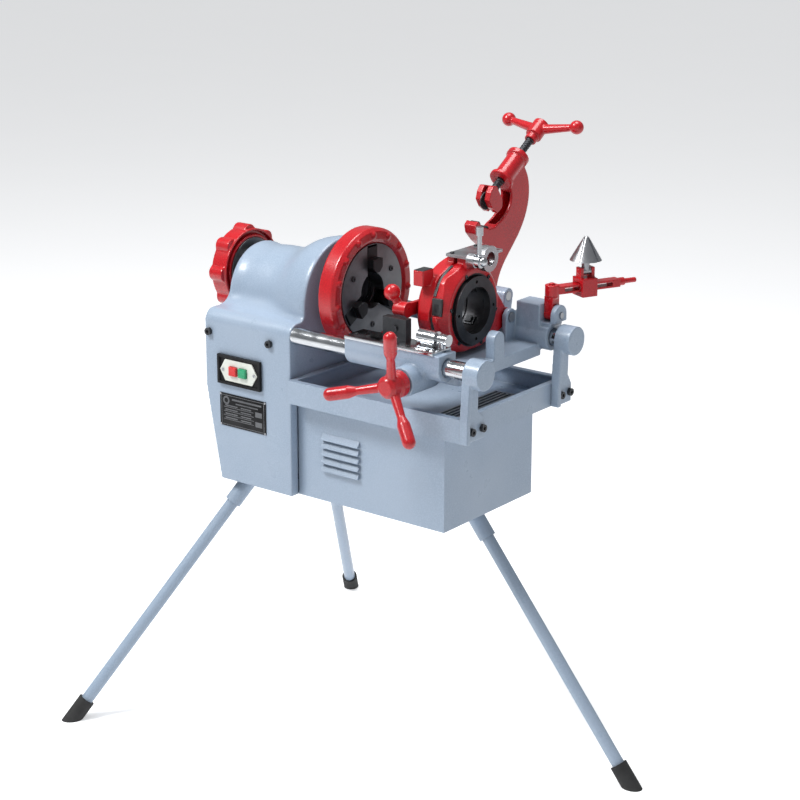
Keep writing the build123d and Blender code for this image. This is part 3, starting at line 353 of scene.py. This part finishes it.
def edge_bevel(node, width):
    """A machined piece: the CAD node keeps its mesh and gets rolled edges."""
    obj = nodes[node]
    weld = obj.modifiers.new("weld", "WELD")
    weld.merge_threshold = WELD_GAP * MM
    bevel = obj.modifiers.new("bevel", "BEVEL")
    bevel.width = width * MM
    bevel.segments = 3
    bevel.limit_method = "ANGLE"
    bevel.angle_limit = math.radians(ROLL_ANGLE)
    bevel.harden_normals = False
    bevel.use_clamp_overlap = True
    normals = obj.modifiers.new("normals", "WEIGHTED_NORMAL")
    normals.keep_sharp = True


def square_to(axis):
    """Three unit vectors at right angles, the first along the axis."""
    direction = Vector(axis).normalized()
    side = direction.orthogonal().normalized()
    return direction, side, direction.cross(side)


def ring(work, centre, side, other, radii):
    """Vertices evenly round a centre, one for each radius; in millimetres."""
    made = []
    for step, radius in enumerate(radii):
        angle = 2 * math.pi * step / len(radii)
        spoke = side * math.cos(angle) + other * math.sin(angle)
        made.append(work.verts.new((centre + spoke * radius) * MM))
    return made


def skin(work, rings, ends):
    """Faces from ring to ring; the ends are left open, joined to each other or capped."""
    pairs = list(zip(rings, rings[1:]))
    if ends == "joined":
        pairs.append((rings[-1], rings[0]))
    for a, b in pairs:
        steps = max(len(a), len(b))
        for step in range(steps):
            after = (step + 1) % steps
            corners = [a[step % len(a)], a[after % len(a)], b[after % len(b)], b[step % len(b)]]
            work.faces.new(list(dict.fromkeys(corners)))
    if ends == "capped":
        work.faces.new(list(reversed(rings[0])))
        work.faces.new(rings[-1])
    bmesh.ops.recalc_face_normals(work, faces=work.faces)


def lathe(name, profile, start, axis, steps, ends="open"):
    """Turn a (distance along, radius) profile about an axis, all in millimetres."""
    direction, side, other = square_to(axis)
    work = bmesh.new()
    rings = []
    for along, radius in profile:
        centre = Vector(start) + direction * along
        rings.append(ring(work, centre, side, other, [radius] * (steps if radius else 1)))
    skin(work, rings, ends)
    return finished(name, work)


def finished(name, work, sharp=SHARP_ANGLE):
    mesh = bpy.data.meshes.new(name)
    work.to_mesh(mesh)
    work.free()
    shade_by_angle(mesh, sharp)
    return add_object(name, mesh)


def slab(work, low, high):
    """A box, in millimetres, added to a bmesh."""
    for vert in bmesh.ops.create_cube(work, size=1)["verts"]:
        for axis in range(3):
            span = high[axis] - low[axis]
            vert.co[axis] = (low[axis] + (vert.co[axis] + 0.5) * span) * MM


def join_bevel(obj, width, segments=2):
    """Roll the edges of a built piece and make the result its mesh."""
    bevel = obj.modifiers.new("bevel", "BEVEL")
    bevel.width = width * MM
    bevel.segments = segments
    bevel.limit_method = "ANGLE"
    bevel.angle_limit = math.radians(JOIN_ANGLE)
    applied(obj)
    shade_by_angle(obj.data, SHARP_ANGLE)
    return obj


def place(obj, body, slot, material=None):
    """Finish a built piece: its material and the body it moves with."""
    wear(obj, slot, material)
    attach(obj, body)
    return obj


def plate(name, low, high, roll, body, slot, material=None):
    """A box with rolled edges, between two corners in millimetres."""
    work = bmesh.new()
    slab(work, low, high)
    return place(join_bevel(finished(name, work), roll), body, slot, material)


def socket_screw(name, centre, axis, radius, height, body):
    """Cap screw head with a hexagon socket."""
    direction, side, other = square_to(axis)
    steps = 24
    angles = [2 * math.pi * step / steps for step in range(steps)]
    socket = [radius * 0.46 / math.cos(angle % (math.pi / 3) - math.pi / 6) for angle in angles]
    head = [(0, [radius] * steps), (height * 0.82, [radius] * steps), (height, [radius * 0.88] * steps),
            (height, socket), (height * 0.35, socket)]
    work = bmesh.new()
    rings = [ring(work, Vector(centre) + direction * along, side, other, radii) for along, radii in head]
    skin(work, rings, "capped")
    place(finished(name, work, SMALL_SHARP), body, "dark_steel")


def slotted_screw(name, centre, radius, height, body):
    """Small cheese-head screw facing -Y, its slot cut between two half heads."""
    work = bmesh.new()
    steps = 12
    for side in (1, -1):
        outline = [(radius * 0.16 * side, -radius * 0.96), (radius * 0.16 * side, radius * 0.96)]
        for step in range(steps + 1):
            angle = math.radians(80 - 160 * step / steps)
            outline.append((side * radius * math.cos(angle), radius * math.sin(angle)))
        rings = []
        for rise in (0, height):
            seat = Vector(centre) - Vector((0, rise, 0))
            rings.append([work.verts.new((seat + Vector((x, 0, z))) * MM) for x, z in outline])
        skin(work, rings, "capped")
    place(finished(name, work, SMALL_SHARP), body, "machined_steel")


# ---- CAD nodes: castings, melted forgings and rolled edges ----

for name, obj in nodes.items():
    wear(obj, SLOT_OF[name])

# Voxel size of each, in millimetres: the edges melt to about its size.
CASTINGS = {
    "headstock_casing": 2.2,
    "front_chuck_wheel": 1.2,
    "rear_chuck_wheel": 1.2,
    "carriage_casting": 1.3,
    "feed_handwheel": 1.0,
    "die_head_body": 1.1,
    "cutter_frame": 1.1,
    "cutter_handle": 0.9,
    "rail_posts": 1.1,
}
CASTS = {name: cast_copy(name, voxel) for name, voxel in CASTINGS.items()}

MELTED = {
    "die_lever": 0.8,
    "cutter_slide": 0.7,
    "reamer_arm": 0.8,
    "reamer_bar": 0.7,
    "reamer_hub": 0.8,
}
for name, voxel in MELTED.items():
    cast_copy(name, voxel, MELT_PASSES)

# Width of the rolled edge of each, in millimetres.
ROLLED = {
    "base_box": 1.2, "drip_tray": 1.0, "stop_block": 0.6, "lock_housing": 0.8, "oil_valve": 0.6,
    "switch_bezel": 0.6, "switch_plate": 0.4, "front_chuck_body": 0.6, "die_face_plate": 0.6,
    "front_jaw_1": 0.6, "front_jaw_2": 0.6, "front_jaw_3": 0.6, "rear_jaw_1": 0.6, "rear_jaw_2": 0.6,
    "rear_jaw_3": 0.6, "rear_chuck_body": 0.8, "lock_knob": 0.5, "legs": 0.8, "feet": 1.5,
    "front_rail": 0.6, "rear_rail": 0.6, "cap_screws": 0.5, "cutter_wheel": 0.15,
}
for name, width in ROLLED.items():
    edge_bevel(name, width)

for name in ("front_chuck_body", "rear_chuck_body"):
    wear(nodes[name], SLOT_OF[name], CHUCK_STEEL)
wear(nodes["die_face_plate"], SLOT_OF["die_face_plate"], FACE_STEEL)
wear(nodes["switch_bezel"], SLOT_OF["switch_bezel"], PLATE_BLACK)
for name in ("front_jaw_1", "front_jaw_2", "front_jaw_3", "rear_jaw_1", "rear_jaw_2", "rear_jaw_3"):
    wear(nodes[name], SLOT_OF[name], JAW_STEEL)


# ---- Details ----

# Places and sizes in millimetres, in the frame's axes: x along the spindle, z up, the operator at -y.
PANEL_FRONT = -147.9            # just inside the base box's front sheet
NAME_PLATE_X = (33, 140)
NAME_PLATE_Z = (-249, -189)
NAME_PLATE_FRONT = -149.4
BORDER_X = (37, 136)
BORDER_Z = (-246.2, -191.8)
BORDER_LINE = 0.7
HEADINGS = [(62, 130, -200, -197), (70, 122, -206, -204.2)]     # x from, x to, z from, z to
STAMP_FIELDS = [(116, 131, -220, -211), (116, 131, -238, -229)]
TABLE_ROWS = [-214 - 7.5 * row for row in range(4)]
RIVET_X = (35.2, 137.8)
RIVET_Z = (-191.2, -246.8)
SWITCH_SCREWS = [(45.5, -152.9, -144.5), (117.5, -152.9, -144.5)]

CARRIAGE_PLATE = ((323.6, -157.6, -40.4), (506.4, -106.8, -34.6))
CARRIAGE_SCREWS = [(334, -138, -34.7), (360, -138, -34.7), (448, -149, -34.7), (490, -149, -34.7)]

SCREEN_LOW = (456, -94, -169.9)
SCREEN_HIGH = (522, 94, -165.0)
SCREEN_RIM = 5
SCREEN_RIBS = 8
RIB_WIDTH = 3

BAND_X = (444.4, 449.6)
BAND_RADII = (77.6, 80.6)
BAND_ARCS = [(18, 65), (91, 128), (232, 292)]                   # degrees
WINDOW_PLATE = ((446.6, -79.5, 2.6), (465.4, -73.6, 31.4))
# Painted shadow: a black sheet proud of the window plate stands in for the slot's dark opening.
WINDOW_SLOT_SHADOW = ((451.5, -79.9, 9.0), (460.5, -79.0, 23.0))
REST_PLATE = ((415, -87, 75.4), (433, -60, 77.0))
LOCK_SCREWS = [(440, -15, 94.9), (440, 52, 94.9)]
HEAD_BORE = 62
HEAD_FACE = 473.9
FACE_SCREW_ANGLES = (260, 200, 140, 80, 20, 320)
CHUCK_FACE = 258.8
CHUCK_SCREW_ANGLES = (60, 180, 300)

SCREW_START = Vector((390.5, 159.7, 157.3))
SCREW_DIRECTION = Vector((0, 0.838, 0.546))
THREAD_SPAN = (12.3, 165.5)
THREAD_PITCH = 6.0
THREAD_CORE = 5.9               # radius at the thread's root
THREAD_HEIGHT = 1.05
THREAD_RUN_IN = 2.0             # the ends taper over this length
THREAD_STEP = 0.75
THREAD_AROUND = 36


def inner_bore(obj, radius, material):
    """Faces of a casting that lie in its bore are bare metal."""
    obj.data.materials.append(material)
    for face in obj.data.polygons:
        if math.hypot(face.center.y, face.center.z) < radius * MM:
            face.material_index = 1


def ring_sector(name, start, end, steps=28):
    """Part of the die head's band, round the X axis; angles in degrees from +Z towards -Y."""
    work = bmesh.new()
    rows = []
    for step in range(steps + 1):
        angle = math.radians(start + (end - start) * step / steps)
        outward = Vector((0, -math.sin(angle), math.cos(angle)))
        corners = zip((BAND_X[0], BAND_X[0], BAND_X[1], BAND_X[1]), BAND_RADII + BAND_RADII[::-1])
        rows.append([work.verts.new((Vector((x, 0, 0)) + outward * radius) * MM) for x, radius in corners])
    skin(work, rows, "capped")
    return finished(name, work, SMALL_SHARP)


def screw_circle(name, x, radius, angles, size, height, body):
    """Socket screws round the X axis, facing +X; angles in degrees from +Z towards -Y."""
    for index, degrees in enumerate(angles):
        angle = math.radians(degrees)
        centre = (x, -radius * math.sin(angle), radius * math.cos(angle))
        socket_screw("%s_%d" % (name, index), centre, (1, 0, 0), size, height, body)


def name_plate():
    """Blank rating plate: black enamel with bright borders, fields and rules, and four rivets."""
    plate("name_plate", (NAME_PLATE_X[0], NAME_PLATE_FRONT, NAME_PLATE_Z[0]),
          (NAME_PLATE_X[1], PANEL_FRONT, NAME_PLATE_Z[1]), 0.5, "frame", "black_plastic", PLATE_BLACK)
    front, back = NAME_PLATE_FRONT - 0.35, NAME_PLATE_FRONT + 0.1
    (left, right), (bottom, top) = BORDER_X, BORDER_Z
    bars = [(left, right, bottom, bottom + BORDER_LINE), (left, right, top - BORDER_LINE, top),
            (left, left + BORDER_LINE, bottom, top), (right - BORDER_LINE, right, bottom, top)]
    bars += HEADINGS
    for z in TABLE_ROWS:
        bars += [(42, 112, z, z + 0.8), (46, 74, z + 2.6, z + 4.4), (82, 106, z + 2.6, z + 4.4)]
    bars += STAMP_FIELDS
    marks = bmesh.new()
    for x0, x1, z0, z1 in bars:
        slab(marks, (x0, front, z0), (x1, back, z1))
    place(finished("name_plate_marks", marks), "frame", "machined_steel", MARK_STEEL)
    seal = lathe("name_plate_seal", [(0, 7.5), (0.5, 7.2), (0.5, 4.6), (0, 4.4)],
                 (48, back, -201.5), (0, -1, 0), 32, "joined")
    place(seal, "frame", "machined_steel", MARK_STEEL)
    for index, (x, z) in enumerate([(x, z) for z in RIVET_Z for x in RIVET_X]):
        rivet = lathe("name_plate_rivet_%d" % index, [(0, 1.9), (0.6, 1.8), (1.1, 1.2), (1.3, 0)],
                      (x, back, z), (0, -1, 0), 16)
        place(rivet, "frame", "machined_steel")


def switch_screws():
    for index, centre in enumerate(SWITCH_SCREWS):
        slotted_screw("switch_screw_%d" % index, centre, 2.8, 1.2, "frame")


def carriage_plate():
    """Hardened plate on the carriage's front sleeve, where the stops slide."""
    plate("carriage_plate", *CARRIAGE_PLATE, 0.8, "carriage", "rail_chrome")
    for index, centre in enumerate(CARRIAGE_SCREWS):
        socket_screw("carriage_plate_screw_%d" % index, centre, (0, 0, 1), 3.6, 1.4, "carriage")


def tray_screen():
    """Slotted chip screen lying on the tray's floor, its ribs running across the tray."""
    (left, front, floor), (right, back, top) = SCREEN_LOW, SCREEN_HIGH
    work = bmesh.new()
    slab(work, SCREEN_LOW, (right, front + SCREEN_RIM, top))
    slab(work, (left, back - SCREEN_RIM, floor), SCREEN_HIGH)
    for index in range(SCREEN_RIBS):
        x = left + (right - left - RIB_WIDTH) * index / (SCREEN_RIBS - 1)
        slab(work, (x, front + SCREEN_RIM - 1, floor + 1),
             (x + RIB_WIDTH, back - SCREEN_RIM + 1, top - 0.5))
    place(join_bevel(finished("tray_screen", work), 0.4, 1), "frame", "machined_steel")


def head_details():
    """Clamp band, window plate, rest plate and screws of the die head."""
    for index, (start, end) in enumerate(BAND_ARCS):
        place(ring_sector("size_band_%d" % index, start, end), "die_head", "dark_steel", BAND_STEEL)
    plate("window_plate", *WINDOW_PLATE, 0.7, "die_head", "dark_steel", BAND_STEEL)
    # Painted shadow: the black sheet shows the window slot's opening as if in shade; no slot is cut.
    plate("window_slot_shadow", *WINDOW_SLOT_SHADOW, 0.3, "die_head", "black_plastic")
    plate("rest_plate", *REST_PLATE, 0.5, "die_head", "machined_steel", BAND_STEEL)
    screw_circle("face_screw", HEAD_FACE, 64, FACE_SCREW_ANGLES, 3.4, 2.2, "die_head")
    for index, centre in enumerate(LOCK_SCREWS):
        socket_screw("lock_screw_%d" % index, centre, (0, 0, 1), 3.6, 2.4, "die_head")


def feed_screw():
    """The cutter's screw with its thread, in place of the plain CAD bar."""
    side = Vector((1, 0, 0))
    other = SCREW_DIRECTION.normalized().cross(side)
    first, last = THREAD_SPAN
    count = int((last - first) / THREAD_STEP)
    work = bmesh.new()
    rings = []
    for step in range(count + 1):
        along = first + (last - first) * step / count
        taper = min(1.0, (along - first) / THREAD_RUN_IN, (last - along) / THREAD_RUN_IN)
        radii = []
        for spoke in range(THREAD_AROUND):
            phase = (along / THREAD_PITCH - spoke / THREAD_AROUND) % 1.0
            ridge = min(1.0, max(0.0, (0.36 - abs(phase - 0.5)) / 0.14))
            radii.append((THREAD_CORE + THREAD_HEIGHT * ridge) * (0.85 + 0.15 * taper))
        rings.append(ring(work, SCREW_START + SCREW_DIRECTION * along, side, other, radii))
    skin(work, rings, "capped")
    screw = place(finished("feed_screw_thread", work, THREAD_SHARP), "cutter_feed", "dark_steel")
    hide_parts("cutter_screw")


inner_bore(CASTS["die_head_body"], HEAD_BORE, BORE_STEEL)
name_plate()
switch_screws()
carriage_plate()
tray_screen()
head_details()
screw_circle("chuck_screw", CHUCK_FACE, 60, CHUCK_SCREW_ANGLES, 5.0, 2.0, "spindle")
feed_screw()


# ---- Stage ----

LENS = 93.7306                  # millimetres, as is the sensor's width
SENSOR = 36
SHIFT_X, SHIFT_Y = 0.0534375, -0.078
CAMERA_PLACE = (2.4297, -2.7397, 0.8791)
CAMERA_RIGHT = Vector((0.7798, 0.6260, -0.0045))
CAMERA_UP = Vector((-0.1630, 0.2099, 0.9641))
FLOOR_HALF = 14.0
LIT_POINT = Vector((0.25, 0, 0))
LIGHTS = [                      # name, place, width, watts, colour
    ("key", (-1.1, -2.0, 2.8), 1.1, 118, (1, 1, 1)),
    ("top", (0.2, 0.4, 2.9), 1.6, 62, (1, 1, 1)),
    ("fill", (3.0, -1.6, 0.9), 1.8, 3, (0.85, 0.93, 1.0)),
]


def photo_camera():
    """Camera on the operator's side, towards the tail end, a little above the spindle."""
    data = bpy.data.cameras.new("camera")
    data.lens = LENS
    data.sensor_width = SENSOR
    data.shift_x = SHIFT_X
    data.shift_y = SHIFT_Y
    data.clip_end = 50
    camera = add_object("camera", data)
    turn = Matrix((CAMERA_RIGHT, CAMERA_UP, CAMERA_RIGHT.cross(CAMERA_UP))).transposed()
    camera.matrix_world = Matrix.Translation(CAMERA_PLACE) @ turn.to_4x4()
    bpy.context.scene.camera = camera


def area_light(name, place, width, watts, colour):
    data = bpy.data.lights.new(name, "AREA")
    data.size = width
    data.energy = watts
    data.color = colour
    lamp = add_object(name, data)
    lamp.location = place
    lamp.rotation_euler = (LIT_POINT - Vector(place)).to_track_quat("-Z", "Y").to_euler()


def paper_floor():
    """Pale floor under the feet; it glows a little, and more where the camera sees it."""
    s = Shader("floor_paper")
    s.feed(s.mix((s.noise(3, 3), "Fac"), (0.86, 0.87, 0.88), (0.90, 0.90, 0.91)), s.bsdf.inputs["Base Color"])
    s.bsdf.inputs["Roughness"].default_value = 0.85
    s.bsdf.inputs["Emission Color"].default_value = (1, 1, 1, 1)
    path = s.tree.nodes.new("ShaderNodeLightPath")
    lift = s.math("MULTIPLY", (path, "Is Camera Ray"), 0.2)
    s.feed(s.math("ADD", lift, 0.28), s.bsdf.inputs["Emission Strength"])
    mesh = bpy.data.meshes.new("floor")
    half, z = FLOOR_HALF, cad_low.z
    corners = [(-half, -half, z), (half, -half, z), (half, half, z), (-half, half, z)]
    mesh.from_pydata(corners, [], [(0, 1, 2, 3)])
    mesh.materials.append(s.material)
    add_object("floor", mesh)


def soft_world():
    """Dim even light from all round; the camera sees a brighter backdrop."""
    world = bpy.data.worlds.new("studio")
    world.use_nodes = True
    nodes, links = world.node_tree.nodes, world.node_tree.links
    background = nodes["Background"]
    background.inputs["Color"].default_value = (0.93, 0.96, 1.0, 1)
    background.inputs["Strength"].default_value = 0.27
    backdrop = nodes.new("ShaderNodeBackground")
    backdrop.inputs["Color"].default_value = (0.97, 0.975, 0.98, 1)
    path = nodes.new("ShaderNodeLightPath")
    choose = nodes.new("ShaderNodeMixShader")
    links.new(path.outputs["Is Camera Ray"], choose.inputs["Fac"])
    links.new(background.outputs["Background"], choose.inputs[1])
    links.new(backdrop.outputs["Background"], choose.inputs[2])
    links.new(choose.outputs["Shader"], nodes["World Output"].inputs["Surface"])
    bpy.context.scene.world = world


photo_camera()
paper_floor()
soft_world()
for light in LIGHTS:
    area_light(*light)
bpy.context.scene.view_settings.view_transform = "Standard"
